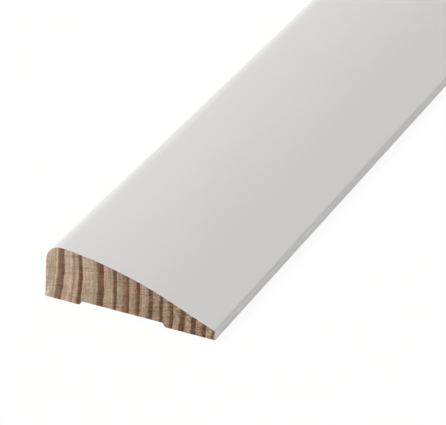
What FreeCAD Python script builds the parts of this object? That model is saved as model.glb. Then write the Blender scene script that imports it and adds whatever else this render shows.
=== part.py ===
# Architrave moulding: one length of moulded pine trim that covers the joint between
# a door lining and the wall. Its section has a square thick outer edge with a rounded
# arris, a face that sweeps down in a long arc and runs on straight to a small nose over
# the thin inner edge, and a back with two flat lands either side of a shallow relief groove.
#
# Millimetres. X runs across the section from the outer edge to the inner edge, Y along
# the length and Z up from the back. The origin is the middle of the back.

import FreeCAD
import Part
import Sketcher
import math
import os

# Each driving size: its name, its value in mm and what it measures.
DRIVING_SIZES = (
    ("stock_length", "2100", "length the moulding is sold in"),
    ("face_width", "57", "outer edge to inner edge"),
    ("thickness", "18", "back to the highest line of the face"),
    ("arris_radius", "5", "round between the outer edge and the face"),
    ("face_radius", "127", "long sweep of the face"),
    ("face_flat", "15.2", "straight slope of the face, from its sweep to the nose"),
    ("nose_radius", "1.2", "round between the face and the inner edge"),
    ("inner_edge_flat", "2.25", "flat height of the inner edge under its nose"),
    ("outer_land", "11.5", "flat of the back beside the outer edge"),
    ("inner_land", "16.5", "flat of the back beside the inner edge"),
    ("relief_depth", "1.3", "depth of the groove in the back"),
    ("relief_wall_run", "1.2", "sideways run of each sloping groove wall"),
    ("foot_radius", "0.2", "easing of the back's arrises along both edges"),
    ("lip_radius", "0.6", "easing of the groove's lips"),
)
MOULDING_NAME = "architrave"

# Ends of a sketch line or arc, and the sketch's own origin.
START, END, CENTRE = 1, 2, 3
ORIGIN = (-1, START)

# Two lengths, or two volumes as shares, closer than this are the same.
SAME = 1e-4


def driving_sheet(doc):
    """The sheet that holds every driving size under its own alias."""
    sheet = doc.addObject("Spreadsheet::Sheet", "Sizes")
    for row, (alias, value, meaning) in enumerate(DRIVING_SIZES, start=1):
        sheet.set(f"A{row}", meaning)
        sheet.set(f"B{row}", value)
        sheet.setAlias(f"B{row}", alias)
    doc.recompute()
    return sheet


def section_plane_sketch(body, name):
    """An empty sketch across the length: sketch x is X, and sketch y is Z."""
    plane = next(f for f in body.Origin.OriginFeatures if f.Role == "XZ_Plane")
    sketch = body.newObject("Sketcher::SketchObject", name)
    sketch.AttachmentSupport = [(plane, "")]
    sketch.MapMode = "FlatFace"
    return sketch


def bind(sketch, name, constraint, formula):
    """Adds a named dimension that follows a formula of the sheet's sizes."""
    index = sketch.addConstraint(constraint)
    sketch.renameConstraint(index, name)
    sketch.setExpression(f"Constraints.{name}", formula)


def line(start, end):
    return Part.LineSegment(start, end)


def arc(centre, radius, first_angle, last_angle):
    circle = Part.Circle(centre, FreeCAD.Vector(0, 0, 1), radius)
    return Part.ArcOfCircle(circle, first_angle, last_angle)


def angle_of(vector):
    return math.atan2(vector.y, vector.x)


def polar(radius, angle):
    return FreeCAD.Vector(radius * math.cos(angle), radius * math.sin(angle), 0)


def sweep_centre(sizes, arris_centre, nose_centre):
    """Where the face's arc is centred, to run on from the arris and into the straight slope."""
    arris_reach = sizes.face_radius - sizes.arris_radius
    nose_reach = math.hypot(sizes.face_radius - sizes.nose_radius, sizes.face_flat)
    across = nose_centre - arris_centre
    span = across.Length
    along = (arris_reach**2 - nose_reach**2 + span**2) / (2 * span)
    below = math.sqrt(arris_reach**2 - along**2)
    across.normalize()
    downward = FreeCAD.Vector(across.y, -across.x, 0)
    return arris_centre + across * along + downward * below


def draw_section(body, sizes):
    """The moulded outline, clockwise from the foot of the outer edge, with a plain flat back."""
    half_width = sizes.face_width / 2
    arris_centre = FreeCAD.Vector(
        -half_width + sizes.arris_radius, sizes.thickness - sizes.arris_radius, 0
    )
    nose_centre = FreeCAD.Vector(half_width - sizes.nose_radius, sizes.inner_edge_flat, 0)
    face_centre = sweep_centre(sizes, arris_centre, nose_centre)
    arris_meets_face = angle_of(arris_centre - face_centre)
    slope_lag = math.atan2(sizes.face_flat, sizes.face_radius - sizes.nose_radius)
    face_meets_slope = angle_of(nose_centre - face_centre) + slope_lag
    slope_top = face_centre + polar(sizes.face_radius, face_meets_slope)
    slope_foot = nose_centre + polar(sizes.nose_radius, face_meets_slope)

    outer_foot = FreeCAD.Vector(-half_width, 0, 0)
    outer_top = FreeCAD.Vector(-half_width, arris_centre.y, 0)
    inner_top = FreeCAD.Vector(half_width, nose_centre.y, 0)
    inner_foot = FreeCAD.Vector(half_width, 0, 0)

    sketch = section_plane_sketch(body, "Section")
    outer_edge = sketch.addGeometry(line(outer_foot, outer_top))
    arris = sketch.addGeometry(
        arc(arris_centre, sizes.arris_radius, arris_meets_face, math.pi)
    )
    face = sketch.addGeometry(
        arc(face_centre, sizes.face_radius, face_meets_slope, arris_meets_face)
    )
    slope = sketch.addGeometry(line(slope_top, slope_foot))
    nose = sketch.addGeometry(arc(nose_centre, sizes.nose_radius, 0, face_meets_slope))
    inner_edge = sketch.addGeometry(line(inner_top, inner_foot))
    back = sketch.addGeometry(line(inner_foot, outer_foot))

    sketch.addConstraint(
        [
            Sketcher.Constraint("Tangent", outer_edge, END, arris, END),
            Sketcher.Constraint("Tangent", arris, START, face, END),
            Sketcher.Constraint("Tangent", face, START, slope, START),
            Sketcher.Constraint("Tangent", slope, END, nose, END),
            Sketcher.Constraint("Tangent", nose, START, inner_edge, START),
            Sketcher.Constraint("Coincident", inner_edge, END, back, START),
            Sketcher.Constraint("Coincident", back, END, outer_edge, START),
            Sketcher.Constraint("Vertical", outer_edge),
            Sketcher.Constraint("Vertical", inner_edge),
            Sketcher.Constraint("Horizontal", back),
            Sketcher.Constraint("Symmetric", back, START, back, END, *ORIGIN),
        ]
    )
    bind(
        sketch,
        "face_width",
        Sketcher.Constraint("DistanceX", back, END, back, START, sizes.face_width),
        "Sizes.face_width",
    )
    bind(
        sketch,
        "arris_centre_height",
        Sketcher.Constraint("DistanceY", *ORIGIN, arris, CENTRE, arris_centre.y),
        "Sizes.thickness - Sizes.arris_radius",
    )
    bind(
        sketch,
        "inner_edge_flat",
        Sketcher.Constraint("DistanceY", inner_edge, END, inner_edge, START, nose_centre.y),
        "Sizes.inner_edge_flat",
    )
    bind(
        sketch,
        "face_flat",
        Sketcher.Constraint("Distance", slope, sizes.face_flat),
        "Sizes.face_flat",
    )
    for name, curve in (("arris", arris), ("face", face), ("nose", nose)):
        radius = f"{name}_radius"
        bind(
            sketch,
            radius,
            Sketcher.Constraint("Radius", curve, getattr(sizes, radius)),
            f"Sizes.{radius}",
        )
    return sketch


def draw_relief(body, sizes):
    """The groove in the back: a shallow trapezium between the two lands."""
    half_width = sizes.face_width / 2
    outer_lip = -half_width + sizes.outer_land
    inner_lip = half_width - sizes.inner_land
    corners = (
        FreeCAD.Vector(outer_lip, 0, 0),
        FreeCAD.Vector(outer_lip + sizes.relief_wall_run, sizes.relief_depth, 0),
        FreeCAD.Vector(inner_lip - sizes.relief_wall_run, sizes.relief_depth, 0),
        FreeCAD.Vector(inner_lip, 0, 0),
    )
    sketch = section_plane_sketch(body, "ReliefSection")
    outer_wall, floor, inner_wall, mouth = (
        sketch.addGeometry(line(corners[i], corners[(i + 1) % 4])) for i in range(4)
    )
    sketch.addConstraint(
        [
            Sketcher.Constraint("Coincident", outer_wall, END, floor, START),
            Sketcher.Constraint("Coincident", floor, END, inner_wall, START),
            Sketcher.Constraint("Coincident", inner_wall, END, mouth, START),
            Sketcher.Constraint("Coincident", mouth, END, outer_wall, START),
            Sketcher.Constraint("Horizontal", floor),
            Sketcher.Constraint("Horizontal", mouth),
            Sketcher.Constraint("PointOnObject", mouth, START, -1),
        ]
    )
    bind(
        sketch,
        "outer_lip",
        Sketcher.Constraint("DistanceX", outer_wall, START, *ORIGIN, -outer_lip),
        "Sizes.face_width / 2 - Sizes.outer_land",
    )
    bind(
        sketch,
        "inner_lip",
        Sketcher.Constraint("DistanceX", *ORIGIN, inner_wall, END, inner_lip),
        "Sizes.face_width / 2 - Sizes.inner_land",
    )
    bind(
        sketch,
        "relief_depth",
        Sketcher.Constraint("DistanceY", outer_wall, START, outer_wall, END, sizes.relief_depth),
        "Sizes.relief_depth",
    )
    bind(
        sketch,
        "outer_wall_run",
        Sketcher.Constraint("DistanceX", outer_wall, START, outer_wall, END, sizes.relief_wall_run),
        "Sizes.relief_wall_run",
    )
    bind(
        sketch,
        "inner_wall_run",
        Sketcher.Constraint("DistanceX", inner_wall, START, inner_wall, END, sizes.relief_wall_run),
        "Sizes.relief_wall_run",
    )
    return sketch


def run_moulding(body, section):
    """The full-length stick, run half each way from the section."""
    stick = body.newObject("PartDesign::Pad", "Stick")
    stick.Profile = section
    stick.SideType = "Symmetric"
    stick.setExpression("Length", "Sizes.stock_length")
    section.Visibility = False
    return stick


def cut_relief(body, relief):
    """The groove, run out through both ends."""
    groove = body.newObject("PartDesign::Pocket", "ReliefGroove")
    groove.Profile = relief
    groove.Type = "ThroughAll"
    groove.SideType = "Symmetric"
    relief.Visibility = False
    return groove


def back_edge(shape, x):
    """Name of the full-length edge in the plane of the back at this X."""
    full_length = shape.BoundBox.YLength
    for number, edge in enumerate(shape.Edges, start=1):
        box = edge.BoundBox
        runs_through = box.YLength > full_length - SAME
        if runs_through and box.ZMax < SAME and abs(box.Center.x - x) < SAME:
            return f"Edge{number}"
    raise RuntimeError(f"the back has no edge at X = {x:.2f} mm")


def ease(body, base, name, edges_at, radius):
    """Softens the edges of the back at each of these X positions."""
    easing = body.newObject("PartDesign::Fillet", name)
    easing.Base = (base, [back_edge(base.Shape, x) for x in edges_at])
    easing.setExpression("Radius", f"Sizes.{radius}")
    body.Document.recompute()
    return easing


def check_relief(sizes, stick, groove):
    """Stops the build unless the groove took its own section out of the whole length."""
    mouth = sizes.face_width - sizes.outer_land - sizes.inner_land
    relief_area = (mouth - sizes.relief_wall_run) * sizes.relief_depth
    expected = relief_area * sizes.stock_length
    taken = stick.Shape.Volume - groove.Shape.Volume
    if abs(taken - expected) > SAME * expected:
        raise RuntimeError(f"the relief groove took {taken:.1f} mm3, not {expected:.1f}")


def check_document(doc, body):
    """Stops the build if any feature failed, or the moulding isn't one sound solid."""
    failed = [o.Label for o in doc.Objects if {"Invalid", "Error"} & set(o.State)]
    if failed:
        raise RuntimeError(f"these features failed: {failed}")
    shape = body.Shape
    if shape.isNull() or not shape.isValid() or len(shape.Solids) != 1:
        raise RuntimeError(f"{body.Label} isn't one valid solid")


def main():
    doc = FreeCAD.newDocument("ArchitraveMoulding")
    sizes = driving_sheet(doc)
    body = doc.addObject("PartDesign::Body", "Moulding")
    body.Label = MOULDING_NAME

    stick = run_moulding(body, draw_section(body, sizes))
    groove = cut_relief(body, draw_relief(body, sizes))
    doc.recompute()
    check_relief(sizes, stick, groove)
    half_width = sizes.face_width / 2
    lips = (-half_width + sizes.outer_land, half_width - sizes.inner_land)
    eased_lips = ease(body, groove, "EasedLips", lips, "lip_radius")
    feet = (-half_width, half_width)
    body.Tip = ease(body, eased_lips, "EasedFeet", feet, "foot_radius")
    doc.recompute()
    check_document(doc, body)

    os.makedirs("parts", exist_ok=True)
    body.Shape.exportStep(os.path.join("parts", f"{body.Label}.step"))
    box = body.Shape.BoundBox
    print(f"{body.Label}: {box.XLength:.2f} x {box.YLength:.2f} x {box.ZLength:.2f} mm,", end=" ")
    print(f"{body.Shape.Volume / 1000:.1f} cm3")


main()
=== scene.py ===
import functools
import math
from typing import NamedTuple

import bmesh
import bpy
import numpy as np
from mathutils import Matrix, Vector


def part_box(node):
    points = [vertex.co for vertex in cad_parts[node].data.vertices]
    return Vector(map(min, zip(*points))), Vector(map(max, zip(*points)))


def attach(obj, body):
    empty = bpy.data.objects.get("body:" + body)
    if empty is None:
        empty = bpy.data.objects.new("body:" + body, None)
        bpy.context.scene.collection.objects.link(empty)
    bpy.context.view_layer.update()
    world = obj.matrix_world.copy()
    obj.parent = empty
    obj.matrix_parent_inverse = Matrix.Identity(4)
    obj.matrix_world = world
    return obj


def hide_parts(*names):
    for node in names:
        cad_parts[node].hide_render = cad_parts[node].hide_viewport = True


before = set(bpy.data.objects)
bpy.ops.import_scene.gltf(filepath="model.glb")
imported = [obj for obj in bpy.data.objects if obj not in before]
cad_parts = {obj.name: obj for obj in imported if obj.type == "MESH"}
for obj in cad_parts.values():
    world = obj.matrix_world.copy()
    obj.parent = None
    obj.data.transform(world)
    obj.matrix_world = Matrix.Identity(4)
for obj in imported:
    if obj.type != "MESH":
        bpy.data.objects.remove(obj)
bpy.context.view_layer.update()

MM = 0.001
NODE = "architrave"
SLOT = "primed_pine"

# Sizes are in millimetres. The overall ones come from the frame. X runs across the
# section from the outer edge to the inner, Y along the length, and Z up from the back.
LOW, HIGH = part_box(NODE)
WIDTH, LENGTH, THICKNESS = ((HIGH - LOW) / MM)[:]
ARRIS_RADIUS = 5.0
FACE_RADIUS = 127.0
FACE_FLAT = 15.2
NOSE_RADIUS = 1.2
INNER_EDGE_FLAT = 2.25
OUTER_LAND = 11.5
INNER_LAND = 16.5
RELIEF_DEPTH = 1.3
RELIEF_WALL_RUN = 1.2
FOOT_RADIUS = 0.2
LIP_RADIUS = 0.6
# The same sizes by name, as they drive the moulding's shape.
SIZES = {
    "Length": LENGTH,
    "Width": WIDTH,
    "Thickness": THICKNESS,
    "Arris Radius": ARRIS_RADIUS,
    "Face Radius": FACE_RADIUS,
    "Face Flat": FACE_FLAT,
    "Nose Radius": NOSE_RADIUS,
    "Inner Edge Flat": INNER_EDGE_FLAT,
    "Outer Land": OUTER_LAND,
    "Inner Land": INNER_LAND,
    "Relief Depth": RELIEF_DEPTH,
    "Relief Wall Run": RELIEF_WALL_RUN,
    "Foot Radius": FOOT_RADIUS,
    "Lip Radius": LIP_RADIUS,
}

# How finely the section and the length are divided.
ARRIS_POINTS = 25
FACE_POINTS = 57
NOSE_POINTS = 9
EASING_POINTS = 6
FLAT_STEP = 2.0
LENGTH_STEP = 30.0
WELD_DISTANCE = 0.002
CREASE_ANGLE = math.radians(25)
# The flat map of the surface that its finish is baked on, and the gaps on it.
MAP_NAME = "OFBake"
MAP_GAP = 0.006

# Growth rings across the sawn end, by distance from the outer edge: where each year's dark
# band begins, where it is darkest, where it ends, and how dark it gets.
GROWTH_RINGS = (
    (-2.6, -1.4, -0.9, 0.8),
    (2.9, 3.2, 3.4, 0.25),
    (3.8, 4.4, 6.25, 0.65),
    (4.8, 5.6, 6.25, 0.85),
    (8.6, 9.5, 9.9, 0.4),
    (10.3, 11.75, 12.4, 1.0),
    (15.6, 16.5, 19.5, 0.2),
    (17.0, 17.9, 19.75, 0.9),
    (17.6, 18.6, 19.75, 1.0),
    (22.4, 23.3, 24.0, 1.0),
    (25.5, 26.3, 28.1, 0.62),
    (26.8, 27.5, 28.2, 1.0),
    (29.6, 30.9, 31.6, 1.0),
    (34.0, 34.8, 36.0, 0.95),
    (37.6, 38.7, 39.4, 1.0),
    (40.5, 42.2, 42.8, 1.0),
    (44.2, 45.4, 46.75, 1.0),
    (48.4, 49.2, 50.6, 1.0),
    (51.7, 52.9, 53.9, 1.0),
    (55.4, 56.0, 56.6, 0.9),
    (58.6, 59.3, 59.9, 0.9),
    (61.8, 62.4, 63.0, 0.9),
)
# A band fades out over this distance to each side of where it ends.
RING_FADE = 0.12
# The heart of the tree lies beyond the outer edge. Seen from further out it sits lower.
HEART_DISTANCE = 62.0
HEART_HEIGHT = 14.5
HEART_FALL = 0.5
HEART_LEAST_HEIGHT = 5.6
# The rings sway along the stick: how far, and the length that turns each sway by one radian.
RING_SWAYS = ((1.1, 310.0), (0.4, 127.0))
# How far they also stray: in a slow waver, in a finer wander along the back, and where the
# saw tears them.
WAVER_REACH = 0.7
WANDER_REACH = 0.8
TORN_REACH = 0.6
# The saw's lines climb across the ends by this much for each millimetre.
SAW_CLIMB = 0.22
# How near a point lies to an end, or how little above the groove's floor, to count as end or back.
END_SKIN = 0.01
BACK_SKIN = 0.02


class Grain(NamedTuple):
    """A pattern in the wood or its finish: how broad and long its lumps are, and how they break up."""

    breadth: float
    length: float
    layer: float = 0.0
    detail: float = 1.0
    roughness: float = 0.5


# Patterns on the sawn ends: their breadth and height, and a layer each so that no two are alike.
TORN_FIBRE = Grain(2.0, 0.3, layer=0.0, detail=3.0, roughness=0.7)
SAW_LINES = Grain(8.0, 0.4, layer=3.0, detail=2.0, roughness=0.6)
ROUGH_PATCHES = Grain(9.0, 7.0, layer=5.0)
MOTTLE = Grain(2.2, 2.2, layer=7.0)
SPECKS = Grain(0.5, 0.5, layer=8.0, detail=2.0)
BLUSH = Grain(6.0, 14.0, layer=9.0)
RING_PATCHES = Grain(2.0, 2.0, layer=11.0)
HUE_PATCHES = Grain(3.0, 6.0, layer=13.0)
STREAKS = Grain(0.4, 8.0, layer=15.0, detail=2.0, roughness=0.6)
# Patterns along the stick: their breadth and length.
RING_WAVER = Grain(6.0, 160.0)
RING_WANDER = Grain(1.2, 50.0, detail=2.0, roughness=0.6)
FIBRE = Grain(0.35, 45.0, detail=3.0, roughness=0.6)
RESIN_DUCTS = Grain(0.3, 10.0)
PLANED_TONE = Grain(15.0, 250.0, detail=2.0)
PRIMER_EDGE = Grain(2.0, 9.0, detail=3.0)
PRIMER_CLOUDS = Grain(22.0, 70.0, detail=3.0)
PRIMER_RIPPLE = Grain(4.0, 9.0)

# The level of a pattern at which a mark begins to show, and the level at which it is full.
# The pale saw line is painted highlight, where raised fibre catches the light.
PAINTED_GLINT_LINE = (0.43, 0.34)
DARK_LINE = (0.55, 0.66)
ROUGH_PATCH = (0.35, 0.6)
PINK_BLUSH = (0.45, 0.62)
RESIN_DUCT = (0.68, 0.76)

# How strong the marks on the sawn ends are. The saw's lines are strongest in summer wood and in
# rough patches. Specks gain and streaks fade from the outer edge to the inner, over these spans.
# The pale lines' gain sets how strong that painted highlight is; the dark lines are the saw's scores.
PAINTED_GLINT_GAIN = (0.18, 0.48)
DARK_LINE_LOSS = (0.3, 0.4)
PATCH_STRENGTH = (0.3, 1.0)
SPECK_STRENGTH = (0.85, 2.85)
SPECK_SPAN = (20.0, 50.0)
DARKEST_SPECK = -0.5
STREAK_STRENGTH = (1.25, 0.35)
STREAK_SPAN = (34.0, 44.0)
MOTTLE_LEVELS = (0.92, 1.08)
RING_PATCH_LEVELS = (0.8, 1.24)
# The ends are darker along their outer edge: how far in it fades, where it starts and stops going up,
# and how much it darkens the wood.
EDGE_DARKENING_DEPTH = (0.45, 0.25)
EDGE_DARKENING_FOOT = (2.0, 4.0)
EDGE_DARKENING_TOP = (14.5, 12.5)
EDGE_DARKENING_LOSS = 0.25

# How strong the marks on the planed back are.
FIBRE_LEVELS = (0.66, 1.1)
TONE_GAIN = 0.24
DUCT_LOSS = 0.3

# The primer's film shows as a rim round the sawn ends. It is worn away at the arris, between these
# distances from the outer edge and these heights. It runs over the corners onto the back, and thins
# out between these distances. Both borders are ragged.
PRIMER_RIM = 0.14
RIM_FADE = 0.07
RIM_STRAY = 0.25
WORN_SPAN = (3.5, 1.5)
WORN_HEIGHT = (5.0, 11.0)
OVERRUN_SPAN = (1.2, 2.2)
OVERRUN_STRAY = 2.4

# The height of the fine relief, in millimetres.
SAW_SCORE = 0.05
SPECK_PIT = 0.03
FIBRE_HEIGHT = 0.03
RIPPLE_HEIGHT = 0.02

# Colours, in linear light.
WHITE = (1, 1, 1, 1)
END_SPRING_OUTER = (0.567, 0.462, 0.341, 1)
END_SPRING_INNER = (0.375, 0.269, 0.176, 1)
END_SPRING_PINK = (0.47, 0.329, 0.249, 1)
END_LATE = (0.286, 0.173, 0.112, 1)
END_SUMMER = (0.155, 0.08, 0.045, 1)
PLANED_SPRING = (0.66, 0.50, 0.32, 1)
PLANED_SUMMER = (0.44, 0.26, 0.125, 1)
PRIMER_WHITE = (0.72, 0.72, 0.717)
# The sawn spring wood goes over to its inner colour by this distance from the outer edge, and
# the pink takes up to this share of it, in a pattern moved this far across.
SPRING_FADE = 32.0
PINK_SHARE = 0.5
PINK_SHIFT = 7.2
# Sawn wood has its late colour at this share of the way to its darkest.
LATE_SHARE = 0.6
# How far the sawn wood's red, green and blue drift apart, and where they drift from.
HUE_DRIFT = (0.24, 0.0, 0.3)
HUE_LEAST = (0.88, 1.0, 0.85)
# The primer is a little cloudy in colour and roughness, and bare wood is rougher by this much.
# Both are dull, and shine less than a smooth paint.
CLOUD_LEVELS = (0.98, 1.02)
PRIMER_ROUGHNESS = (0.6, 0.64)
ADDED_ROUGHNESS = 0.15
CHALKY_SHINE = 0.2

# The floor and the light of the room. Reaches are in metres.
FLOOR_REACH = 60.0
FLOOR_GAP = 0.1
FLOOR_WHITE = (0.85, 0.85, 0.85, 1)
FLOOR_GLOW = 0.9
ROOM_LEVEL = 0.2
KEY_WARMTH = (1.03, 1.0, 0.97)
LAMP_SPREAD = math.radians(40)

# The photographed view: angles in degrees, places in pixels of the 446 x 425 frame, distances
# in metres, and the camera's sensor in millimetres.
FRAME_WIDTH, FRAME_HEIGHT = 446, 425
VIEW_AZIMUTH = 21.629
VIEW_ELEVATION = 27.639
VIEW_ROLL = 3.645
VIEW_REACH = 100
FOCAL_PIXELS = 3405.9
CORNER_PIXEL = (45.07, 295.55)
CORNER_DEPTH = 1.04475
SENSOR_WIDTH = 36


class Graph:
    """A node tree in the making."""

    def __init__(self, tree):
        self.tree = tree

    def node(self, kind, settings=None, sockets=None, output=0):
        """Adds a node of this type, with its settings, then the values or links of its sockets."""
        made = self.tree.nodes.new(kind)
        for name, setting in (settings or {}).items():
            setattr(made, name, setting)
        for key, source in (sockets or {}).items():
            for value in source if isinstance(source, list) else [source]:
                if isinstance(value, Field):
                    self.tree.links.new(value.socket, made.inputs[key])
                else:
                    made.inputs[key].default_value = value
        return Field(self, made.outputs[output]) if len(made.outputs) else made

    def mix(self, share, first, second):
        """The first colour, going over to the second as share goes from 0 to 1."""
        # The colours' sockets come after those for numbers and vectors.
        sockets = {"Factor": share, 6: first, 7: second}
        return self.node("ShaderNodeMix", {"data_type": "RGBA"}, sockets, output=2)

    def vectors(self, operation, *operands):
        """Maths on vectors or colours, each part by itself."""
        return self.node("ShaderNodeVectorMath", {"operation": operation}, dict(enumerate(operands)))

    def scaled(self, vector, factor):
        """The vector or colour times a number."""
        return self.node("ShaderNodeVectorMath", {"operation": "SCALE"}, {0: vector, "Scale": factor})

    def vector(self, x, y, z):
        return self.node("ShaderNodeCombineXYZ", None, {0: x, 1: y, 2: z})

    def noise(self, place, detail, roughness):
        """Cloudy noise from 0 to 1 with lumps about one unit of place across."""
        sockets = {"Vector": place, "Scale": 1.0, "Detail": detail, "Roughness": roughness}
        return self.node("ShaderNodeTexNoise", None, sockets)


class Field:
    """A node's output. Arithmetic on fields adds the Math nodes that work it out."""

    def __init__(self, graph, socket):
        self.graph = graph
        self.socket = socket

    def other(self, output):
        """Another output of the same node."""
        return Field(self.graph, self.socket.node.outputs[output])

    def math(self, operation, *operands):
        return self.graph.node("ShaderNodeMath", {"operation": operation}, dict(enumerate(operands)))

    def __add__(self, other):
        return self.math("ADD", self, other)

    __radd__ = __add__

    def __sub__(self, other):
        return self.math("SUBTRACT", self, other)

    def __rsub__(self, other):
        return self.math("SUBTRACT", other, self)

    def __mul__(self, other):
        return self.math("MULTIPLY", self, other)

    __rmul__ = __mul__

    def __truediv__(self, other):
        return self.math("DIVIDE", self, other)

    def __rtruediv__(self, other):
        return self.math("DIVIDE", other, self)

    def __neg__(self):
        return self.math("MULTIPLY", self, -1.0)

    def __lt__(self, other):
        return self.math("LESS_THAN", self, other)

    def __gt__(self, other):
        return self.math("GREATER_THAN", self, other)

    def least(self, other):
        return self.math("MINIMUM", self, other)

    def most(self, other):
        return self.math("MAXIMUM", self, other)

    def size(self):
        return self.math("ABSOLUTE", self)

    def sine(self):
        return self.math("SINE", self)

    def cosine(self):
        return self.math("COSINE", self)

    def tangent(self):
        return self.math("TANGENT", self)

    def centred(self):
        """A pattern's level, counted from its middle."""
        return self - 0.5

    def between(self, low, high):
        """Goes from low to high as this goes from 0 to 1."""
        return low + (high - low) * self

    def ramp(self, start, end, easing="LINEAR"):
        """Goes from 0 at start to 1 at end, and stays level outside them."""
        sockets = {"Value": self, "From Min": start, "From Max": end}
        return self.graph.node("ShaderNodeMapRange", {"interpolation_type": easing}, sockets)

    def eased(self, start, end):
        """The same with a smooth start and finish."""
        return self.ramp(start, end, "SMOOTHSTEP")


def root(value):
    """The square root of a field or a number."""
    return value.math("SQRT", value) if isinstance(value, Field) else math.sqrt(value)


def hypotenuse(a, b):
    return root(a * a + b * b)


def heading(x, y):
    """The angle of the direction (x, y), from the x axis, for fields or numbers."""
    return y.math("ARCTAN2", y, x) if isinstance(y, Field) else math.atan2(y, x)


def arris_centre(size):
    """The middle of the arris, across and up the section."""
    return size["Arris Radius"] - size["Width"] / 2.0, size["Thickness"] - size["Arris Radius"]


def nose_centre(size):
    """The middle of the nose, across and up the section."""
    return size["Width"] / 2.0 - size["Nose Radius"], size["Inner Edge Flat"]


def face_sweep(size):
    """The middle of the face's long sweep, and which way the slope that it runs into faces.

    The sweep runs on from the arris and the slope into the nose, so both follow from them.
    """
    arris_x, arris_y = arris_centre(size)
    nose_x, nose_y = nose_centre(size)
    span_x, span_y = nose_x - arris_x, nose_y - arris_y
    span = hypotenuse(span_x, span_y)
    reach = size["Face Radius"] - size["Arris Radius"]
    drop, flat = size["Face Radius"] - size["Nose Radius"], size["Face Flat"]
    nose_reach = hypotenuse(drop, flat)
    along = (reach * reach - nose_reach * nose_reach + span * span) / (span * 2.0)
    below = root(reach * reach - along * along)
    face_x = arris_x + (span_x * along + span_y * below) / span
    face_y = arris_y + (span_y * along - span_x * below) / span
    slope_turn = heading(nose_x - face_x, nose_y - face_y) + heading(drop, flat)
    return face_x, face_y, slope_turn


def stepped_line(graph, start, end, step):
    """A straight line, divided into steps of about this length in millimetres."""
    ends = {"Start": start, "End": end}
    line = graph.node("GeometryNodeCurvePrimitiveLine", {"mode": "POINTS"}, ends)
    steps = {"Curve": line, "Length": step * MM}
    return graph.node("GeometryNodeResampleCurve", {"mode": "LENGTH"}, steps)


class Section:
    """The moulding's outline, gathered piece by piece: x is X, and y is Z."""

    def __init__(self, graph):
        self.graph = graph
        self.pieces = []

    def arc(self, centre, radius, start, sweep, points):
        sockets = {"Resolution": points, "Radius": radius, "Start Angle": start, "Sweep Angle": sweep}
        bend = self.graph.node("GeometryNodeCurveArc", {"mode": "RADIUS"}, sockets)
        place = self.graph.vector(*centre, 0.0)
        moved = {"Geometry": bend, "Translation": place}
        self.pieces.append(self.graph.node("GeometryNodeTransform", None, moved))

    def flat(self, start, end):
        start, end = self.graph.vector(*start, 0.0), self.graph.vector(*end, 0.0)
        self.pieces.append(stepped_line(self.graph, start, end, FLAT_STEP))

    def closed(self):
        """All the pieces, welded end to end into one closed curve."""
        joined = self.graph.node("GeometryNodeJoinGeometry", None, {"Geometry": self.pieces})
        edges = self.graph.node("GeometryNodeCurveToMesh", None, {"Curve": joined})
        welds = {"Geometry": edges, "Distance": WELD_DISTANCE * MM}
        welded = self.graph.node("GeometryNodeMergeByDistance", None, welds)
        return self.graph.node("GeometryNodeMeshToCurve", None, {"Mesh": welded})


def moulded_section(graph, size):
    """The outline: over the face from the outer edge to the inner, and home along the back."""
    half = size["Width"] / 2.0
    arris, face, nose = size["Arris Radius"], size["Face Radius"], size["Nose Radius"]
    arris_x, arris_y = arris_centre(size)
    nose_x, nose_y = nose_centre(size)
    face_x, face_y, slope_turn = face_sweep(size)
    arris_turn = heading(arris_x - face_x, arris_y - face_y)
    slope_x, slope_y = slope_turn.cosine(), slope_turn.sine()

    # Each groove wall slopes up from its lip, and each lip is eased.
    foot, lip = size["Foot Radius"], size["Lip Radius"]
    depth, run = size["Relief Depth"], size["Relief Wall Run"]
    wall = heading(run, depth)
    trim = lip * (wall / 2.0).tangent()
    trim_x, trim_y = trim * wall.cosine(), trim * wall.sine()
    outer_lip, inner_lip = size["Outer Land"] - half, half - size["Inner Land"]
    quarter = math.pi / 2

    section = Section(graph)
    section.flat((-half, foot), (-half, arris_y))
    section.arc((arris_x, arris_y), arris, arris_turn, math.pi - arris_turn, ARRIS_POINTS)
    section.arc((face_x, face_y), face, slope_turn, arris_turn - slope_turn, FACE_POINTS)
    section.flat(
        (face_x + face * slope_x, face_y + face * slope_y),
        (nose_x + nose * slope_x, nose_y + nose * slope_y),
    )
    section.arc((nose_x, nose_y), nose, 0.0, slope_turn, NOSE_POINTS)
    section.flat((half, nose_y), (half, foot))
    section.arc((half - foot, foot), foot, -quarter, quarter, EASING_POINTS)
    section.flat((half - foot, 0.0), (inner_lip + trim, 0.0))
    section.arc((inner_lip + trim, lip), lip, -quarter - wall, wall, EASING_POINTS)
    section.flat((inner_lip - trim_x, trim_y), (inner_lip - run, depth))
    section.flat((inner_lip - run, depth), (outer_lip + run, depth))
    section.flat((outer_lip + run, depth), (outer_lip + trim_x, trim_y))
    section.arc((outer_lip - trim, lip), lip, -quarter, wall, EASING_POINTS)
    section.flat((outer_lip - trim, 0.0), (foot - half, 0.0))
    section.arc((foot - half, foot), foot, -2 * quarter, quarter, EASING_POINTS)
    return section.closed()


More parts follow.
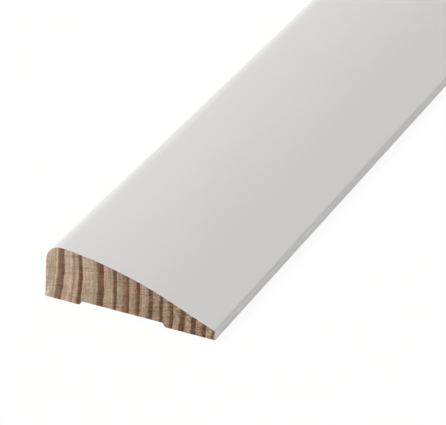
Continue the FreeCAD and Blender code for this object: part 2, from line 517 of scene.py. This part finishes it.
def run_tree(material):
    """The node tree that runs the section out to the stick's length and closes both ends."""
    tree = bpy.data.node_groups.new("moulding_run", "GeometryNodeTree")
    names = {}
    for name in SIZES:
        made = tree.interface.new_socket(name, in_out="INPUT", socket_type="NodeSocketFloat")
        names[name] = made.identifier
    tree.interface.new_socket("Moulding", in_out="OUTPUT", socket_type="NodeSocketGeometry")
    graph = Graph(tree)
    first = graph.node("NodeGroupInput")
    size = {name: first.other(name) for name in names}

    start = graph.vector(0.0, size["Length"] / -2.0, 0.0)
    end = graph.vector(0.0, size["Length"] / 2.0, 0.0)
    path = stepped_line(graph, start, end, LENGTH_STEP)
    # An outline that is run along Y hangs below its path, so it is turned over first.
    over = {"Geometry": moulded_section(graph, size), "Scale": (1, -1, 1)}
    outline = graph.node("GeometryNodeTransform", None, over)
    swept = {"Curve": path, "Profile Curve": outline, "Fill Caps": True}
    stick = graph.node("GeometryNodeCurveToMesh", None, swept)
    real = graph.node("GeometryNodeRealizeInstances", None, {"Geometry": stick})
    finish = {"Geometry": real, "Material": material}
    dressed = graph.node("GeometryNodeSetMaterial", None, finish)
    graph.node("NodeGroupOutput", None, {"Moulding": dressed})
    return tree, names


def make_moulding(material):
    """The moulding as one closed plain mesh, in place."""
    piece = bpy.data.objects.new("architrave_moulding", bpy.data.meshes.new("blank"))
    bpy.context.scene.collection.objects.link(piece)
    tree, names = run_tree(material)
    modifier = piece.modifiers.new("run", "NODES")
    modifier.node_group = tree
    for name, value in SIZES.items():
        modifier[names[name]] = value * MM
    depsgraph = bpy.context.evaluated_depsgraph_get()
    mesh = bpy.data.meshes.new_from_object(piece.evaluated_get(depsgraph), depsgraph=depsgraph)
    piece.modifiers.remove(modifier)
    piece.data = mesh
    shell = bmesh.new()
    shell.from_mesh(mesh)
    bmesh.ops.recalc_face_normals(shell, faces=shell.faces)
    shell.to_mesh(mesh)
    shell.free()
    mesh.shade_smooth()
    mesh.set_sharp_from_angle(angle=CREASE_ANGLE)
    lay_out_map(mesh)
    return piece


def values_of(items, name, kind, width=1):
    """One value of every mesh item as an array, with a row for each item."""
    found = np.empty(len(items) * width, kind)
    items.foreach_get(name, found)
    return found.reshape(-1, width) if width > 1 else found


def lay_out_map(mesh):
    """Maps the surface flat: the two ends side by side, and above them the run, slit at its foot."""
    places = values_of(mesh.vertices, "co", np.float32, 3) / MM
    corners = values_of(mesh.loops, "vertex_index", np.int32)
    starts = values_of(mesh.polygons, "loop_start", np.int32)
    sides = values_of(mesh.polygons, "loop_total", np.int32)
    face = np.repeat(np.arange(len(sides)), sides)
    x, y, z = places[corners].T

    # Each end is drawn to one scale.
    end_width = (1 - 3 * MAP_GAP) / 2
    scale = end_width / WIDTH
    near_end = y < 0
    from_left = WIDTH / 2 + np.where(near_end, x, -x)
    end_u = MAP_GAP + from_left * scale + np.where(near_end, 0, end_width + MAP_GAP)
    end_v = MAP_GAP + z * scale

    # The run is unrolled from the foot of the outer edge. Its vertices come ring by ring.
    outline = sides.max()
    foot = np.argmin(places[:outline, 0] + places[:outline, 2])
    ring = np.roll(places[:outline], -foot, axis=0)
    steps = np.linalg.norm(np.roll(ring, -1, axis=0) - ring, axis=1)
    distance = np.concatenate(([0.0], np.cumsum(steps)))
    rank = (corners - foot) % outline
    last = np.maximum.reduceat(rank, starts)[face]
    rank = np.where((rank == 0) & (last == outline - 1), outline, rank)
    run_foot = 2 * MAP_GAP + THICKNESS * scale
    run_u = MAP_GAP + (0.5 + y / LENGTH) * (1 - 2 * MAP_GAP)
    run_v = run_foot + distance[rank] / distance[-1] * (1 - MAP_GAP - run_foot)

    on_end = sides[face] == outline
    flat = np.stack((np.where(on_end, end_u, run_u), np.where(on_end, end_v, run_v)), axis=1)
    mesh.uv_layers.new(name=MAP_NAME).uv.foreach_set("vector", flat.astype(np.float32).ravel())


class Stick:
    """Places on the stick, in millimetres, and the patterns that its finish has there."""

    def __init__(self, graph):
        self.graph = graph
        metres = graph.node("ShaderNodeTexCoord", output="Object")
        self.x = graph.node("ShaderNodeSeparateXYZ", None, {0: graph.scaled(metres, 1 / MM)})
        self.y, self.z = self.x.other("Y"), self.x.other("Z")
        # Distances from the outer edge, from the near end, and across the saw's lines.
        self.out, self.down = self.x + WIDTH / 2, self.y + LENGTH / 2
        self.rise = self.z - SAW_CLIMB * self.out
        self.end = self.y / LENGTH
        self.on_end = self.y.size() > LENGTH / 2 - END_SKIN

    def end_pattern(self, grain, across=None, up=None):
        """A pattern on the sawn ends, each end its own: by distance out and up, or as given."""
        across, up = across or self.out, up or self.z
        place = self.graph.vector(across / grain.breadth, self.end + grain.layer, up / grain.length)
        return self.graph.noise(place, grain.detail, grain.roughness)

    def run_pattern(self, grain, across=None, along=None):
        """A pattern along the stick: by distance out and down it, or as given."""
        across, along = across or self.out, along or self.down
        place = self.graph.vector(across / grain.breadth, along / grain.length, self.z / grain.breadth)
        return self.graph.noise(place, grain.detail, grain.roughness)

    def either(self, on_ends, elsewhere):
        """One value on the sawn ends and another on the rest of the stick."""
        return self.on_end * on_ends + (1.0 - self.on_end) * elsewhere


def growth(stick):
    """How far out from the heart the wood grew, counted from the outer edge."""
    heart_height = (HEART_HEIGHT - HEART_FALL * stick.out).most(HEART_LEAST_HEIGHT)
    grown = hypotenuse(stick.out + HEART_DISTANCE, stick.z - heart_height) - HEART_DISTANCE
    for reach, length in RING_SWAYS:
        grown = grown + reach * (stick.down / length).sine()
    return grown + WAVER_REACH * stick.run_pattern(RING_WAVER).centred()


def drag(stick):
    """How far the rings are ragged where the saw tears them, or wander along the back."""
    torn = stick.end_pattern(TORN_FIBRE, up=stick.rise).centred()
    wander = stick.run_pattern(RING_WANDER).centred()
    return stick.either(TORN_REACH * torn, WANDER_REACH * wander)


def summer_bands(grown):
    """How far into its dark late growth the wood is, from 0 to 1."""
    bands = []
    for begins, darkest, ends, depth in GROWTH_RINGS:
        fall = grown.eased(ends + RING_FADE, ends - RING_FADE)
        bands.append(depth * grown.eased(begins, darkest) * fall)
    return functools.reduce(Field.most, bands)


def sawn_colour(stick, dark):
    """Sawn pine: spring wood that deepens inwards, with dark rings and hues that drift."""
    graph = stick.graph
    spring = graph.mix(stick.out.ramp(0.0, SPRING_FADE), END_SPRING_OUTER, END_SPRING_INNER)
    blush = stick.end_pattern(BLUSH, across=stick.out + PINK_SHIFT).eased(*PINK_BLUSH)
    spring = graph.mix(PINK_SHARE * blush, spring, END_SPRING_PINK)
    patchy = dark * stick.end_pattern(RING_PATCHES).between(*RING_PATCH_LEVELS)
    wood = graph.mix(patchy.ramp(0.0, LATE_SHARE), spring, END_LATE)
    wood = graph.mix(patchy.ramp(LATE_SHARE, 1.0), wood, END_SUMMER)
    hues = stick.end_pattern(HUE_PATCHES).other("Color")
    tint = graph.vectors("MULTIPLY_ADD", hues, HUE_DRIFT, HUE_LEAST)
    return graph.vectors("MULTIPLY", wood, tint)


def sawn_shade(stick, grown, dark, saw, specks):
    """How light the sawn ends are, with saw lines, streaks along the rings, specks and darkening along
    the outer edge.
    """
    out, z = stick.out, stick.z
    # Pale saw lines are painted highlight on raised fibre; the dark lines are the saw's scores.
    painted_glint = saw.eased(*PAINTED_GLINT_LINE) * dark.between(*PAINTED_GLINT_GAIN)
    lines = painted_glint - saw.eased(*DARK_LINE) * dark.between(*DARK_LINE_LOSS)
    patch = stick.end_pattern(ROUGH_PATCHES).eased(*ROUGH_PATCH)
    lines = lines * patch.between(*PATCH_STRENGTH)
    speckle = out.ramp(*SPECK_SPAN).between(*SPECK_STRENGTH) * specks.centred()
    streaks = stick.end_pattern(STREAKS, across=grown).centred()
    streaks = out.ramp(*STREAK_SPAN).between(*STREAK_STRENGTH) * streaks
    mottle = stick.end_pattern(MOTTLE).between(*MOTTLE_LEVELS)
    # Darker along the outer edge of each end, from a little above its foot to a little below its top.
    edge_darkening = out.eased(*EDGE_DARKENING_DEPTH) * z.eased(*EDGE_DARKENING_FOOT) * z.eased(*EDGE_DARKENING_TOP)
    marks = (1.0 + speckle.most(DARKEST_SPECK) + streaks) * (1.0 + lines)
    return mottle * marks * (1.0 - EDGE_DARKENING_LOSS * edge_darkening)


def planed_wood(stick, dark, fibre):
    """Planed pine: paler, with the rings as stripes, fine fibre and short threads of resin ducts."""
    ducts = stick.run_pattern(RESIN_DUCTS).eased(*RESIN_DUCT)
    tone = stick.run_pattern(PLANED_TONE)
    wood = stick.graph.mix(dark, PLANED_SPRING, PLANED_SUMMER)
    shade = (fibre.between(*FIBRE_LEVELS) + TONE_GAIN * tone) * (1.0 - DUCT_LOSS * ducts)
    return stick.graph.scaled(wood, shade)


def primed_depth(stick):
    """How far a point of the section lies under the primed face and edges."""
    x, z = stick.x, stick.z
    arris_x, arris_z = arris_centre(SIZES)
    under_arris = ARRIS_RADIUS - hypotenuse((arris_x - x).most(0.0), (z - arris_z).most(0.0))
    under_edges = WIDTH / 2 - x.size()
    face_x, face_z, turn = face_sweep(SIZES)
    away_x, away_z = x - face_x, z - face_z
    under_sweep = FACE_RADIUS - hypotenuse(away_x, away_z)
    under_slope = FACE_RADIUS - (away_x * math.cos(turn) + away_z * math.sin(turn))
    past_sweep = away_z * math.cos(turn) - away_x * math.sin(turn) < 0.0
    under_face = under_sweep + past_sweep * (under_slope - under_sweep)
    return under_arris.least(under_edges).least(under_face)


def bare_wood(stick):
    """Where the wood is bare, from 0 to 1: inside the rim of each end, and across the back."""
    ragged = stick.run_pattern(PRIMER_EDGE).centred()
    worn = stick.out.eased(*WORN_SPAN) * stick.z.eased(*WORN_HEIGHT)
    rim = PRIMER_RIM * (1.0 - worn) + RIM_STRAY * ragged
    bare_end = (primed_depth(stick) - rim).eased(-RIM_FADE, RIM_FADE)
    from_edge = WIDTH / 2 - stick.x.size()
    on_back = stick.z < RELIEF_DEPTH + BACK_SKIN
    bare_back = on_back * (from_edge + OVERRUN_STRAY * ragged).eased(*OVERRUN_SPAN)
    return stick.either(bare_end, bare_back)


def fresh_graph(owner):
    """An empty shader tree for a material or the world."""
    owner.use_nodes = True
    owner.node_tree.nodes.clear()
    return Graph(owner.node_tree)


def primed_pine():
    """White primer over pine that shows bare on the sawn ends and the back."""
    material = bpy.data.materials.new(SLOT)
    graph = fresh_graph(material)
    stick = Stick(graph)
    saw = stick.end_pattern(SAW_LINES, up=stick.rise)
    specks = stick.end_pattern(SPECKS)
    fibre = stick.run_pattern(FIBRE)
    clouds = stick.run_pattern(PRIMER_CLOUDS, stick.x, stick.y)
    ripple = stick.run_pattern(PRIMER_RIPPLE, stick.x, stick.y)

    grown = growth(stick)
    dark = summer_bands(grown + drag(stick))
    sawn = graph.scaled(sawn_colour(stick, dark), sawn_shade(stick, grown, dark, saw, specks))
    wood = graph.mix(stick.on_end, planed_wood(stick, dark, fibre), sawn)
    primer = graph.scaled(PRIMER_WHITE, clouds.between(*CLOUD_LEVELS))
    bare = bare_wood(stick)
    colour = graph.mix(bare, primer, wood)

    # Scores and pits on the sawn ends, raised fibre on the back, and a faint ripple in the primer.
    scores = SAW_SCORE * saw + SPECK_PIT * specks
    relief = stick.either(bare * scores, RIPPLE_HEIGHT * ripple + FIBRE_HEIGHT * bare * fibre)
    heights = {"Strength": 1.0, "Distance": MM, "Height": relief}
    sockets = {
        "Base Color": colour,
        "Roughness": clouds.between(*PRIMER_ROUGHNESS) + ADDED_ROUGHNESS * bare,
        "Specular IOR Level": CHALKY_SHINE,
        "Normal": graph.node("ShaderNodeBump", None, heights),
    }
    shader = graph.node("ShaderNodeBsdfPrincipled", None, sockets)
    graph.node("ShaderNodeOutputMaterial", None, {"Surface": shader})
    return material


def shown_white(graph):
    """1 for rays that show the background, straight or mirrored or through glass, else 0."""
    ray = graph.node("ShaderNodeLightPath", output="Is Camera Ray")
    return ray.most(ray.other("Is Glossy Ray")).most(ray.other("Is Transmission Ray"))


def floor_white():
    """White paint that keeps a soft shadow, and is clear from below."""
    material = bpy.data.materials.new("floor_white")
    graph = fresh_graph(material)
    shown = shown_white(graph)
    paint = graph.mix(shown, FLOOR_WHITE, WHITE)
    lit = graph.node("ShaderNodeBsdfDiffuse", None, {"Color": paint})
    glow = graph.node("ShaderNodeEmission", None, {"Color": WHITE, "Strength": 1.0})
    top = graph.node("ShaderNodeMixShader", None, {0: FLOOR_GLOW * shown, 1: lit, 2: glow})
    clear = graph.node("ShaderNodeBsdfTransparent")
    below = graph.node("ShaderNodeNewGeometry", output="Backfacing")
    shader = graph.node("ShaderNodeMixShader", None, {0: below, 1: top, 2: clear})
    graph.node("ShaderNodeOutputMaterial", None, {"Surface": shader})
    return material


def white_floor():
    """A wide floor just below the stick, and open under it."""
    mesh = bpy.data.meshes.new("floor")
    half_width, half_length = (WIDTH / 2 - FOOT_RADIUS) * MM, (LENGTH / 2 - FOOT_RADIUS) * MM
    corners = [(-1, -1), (1, -1), (1, 1), (-1, 1)]
    rim = [(FLOOR_REACH * x, FLOOR_REACH * y, 0) for x, y in corners]
    opening = [(half_width * x, half_length * y, 0) for x, y in corners]
    strips = [(side, (side + 1) % 4, 4 + (side + 1) % 4, 4 + side) for side in range(4)]
    mesh.from_pydata(rim + opening, [], strips)
    mesh.materials.append(floor_white())
    floor = bpy.data.objects.new("floor", mesh)
    floor.location.z = -FLOOR_GAP * MM
    bpy.context.scene.collection.objects.link(floor)


def bearing(azimuth, elevation):
    """The way from the stick to something at this azimuth and elevation, in degrees."""
    across, up = math.radians(azimuth), math.radians(elevation)
    return Vector((math.sin(across) * math.cos(up), -math.cos(across) * math.cos(up), math.sin(up)))


def hang(lamp, way):
    """Puts up a lamp that shines from this way, and returns its object."""
    holder = bpy.data.objects.new(lamp.name, lamp)
    holder.rotation_mode = "QUATERNION"
    holder.rotation_quaternion = way.to_track_quat("Z", "Y")
    bpy.context.scene.collection.objects.link(holder)
    return holder


def soft_sun(name, azimuth, elevation, level, colour=(1, 1, 1)):
    """A broad far-off lamp, by the level that it gives a surface facing it."""
    lamp = bpy.data.lights.new(name, "SUN")
    lamp.color = colour
    lamp.energy = level * math.pi
    lamp.angle = LAMP_SPREAD
    hang(lamp, bearing(azimuth, elevation))


def soft_box(name, away, breadth, power):
    """A broad lamp this far away from the foot of the far end, in metres, and aimed at it."""
    lamp = bpy.data.lights.new(name, "AREA")
    lamp.shape = "DISK"
    lamp.size = breadth
    lamp.spread = LAMP_SPREAD
    lamp.energy = power
    holder = hang(lamp, Vector(away))
    holder.location = Vector((0.0, HIGH.y, LOW.z)) + Vector(away)
    holder.visible_camera = False


def studio_light():
    """Even light all round, with broad lamps over both edges, behind and below."""
    world = bpy.data.worlds.new("studio")
    bpy.context.scene.world = world
    graph = fresh_graph(world)
    strength = shown_white(graph).between(ROOM_LEVEL, 1.0)
    sky = graph.node("ShaderNodeBackground", None, {"Color": WHITE, "Strength": strength})
    graph.node("ShaderNodeOutputWorld", None, {"Surface": sky})
    soft_sun("key", azimuth=-78, elevation=45, level=0.85, colour=KEY_WARMTH)
    soft_sun("fill", azimuth=45, elevation=30, level=0.35)
    soft_sun("under", azimuth=100, elevation=-50, level=0.85)
    soft_box("back", away=(0.0, 0.6, 0.12), breadth=0.3, power=0.07)


def photo_camera():
    """The camera that took the photograph, placed by where the near corner of the back shows."""
    forward = -bearing(VIEW_AZIMUTH, VIEW_ELEVATION)
    level = forward.cross(Vector((0, 0, 1))).normalized()
    right = Matrix.Rotation(-math.radians(VIEW_ROLL), 3, forward) @ level
    up = right.cross(forward)
    across = (CORNER_PIXEL[0] - FRAME_WIDTH / 2) / FOCAL_PIXELS
    above = (FRAME_HEIGHT / 2 - CORNER_PIXEL[1]) / FOCAL_PIXELS
    data = bpy.data.cameras.new("photo_view")
    data.sensor_width = SENSOR_WIDTH
    data.lens = SENSOR_WIDTH * FOCAL_PIXELS / FRAME_WIDTH
    data.clip_end = VIEW_REACH
    camera = bpy.data.objects.new("photo_view", data)
    camera.matrix_world = Matrix((right, up, -forward)).transposed().to_4x4()
    camera.location = LOW - (right * across + up * above + forward) * CORNER_DEPTH
    bpy.context.scene.collection.objects.link(camera)
    bpy.context.scene.camera = camera


bpy.context.scene.view_settings.view_transform = "Standard"
moulding = make_moulding(primed_pine())
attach(moulding, "root")
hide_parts(NODE)
white_floor()
studio_light()
photo_camera()
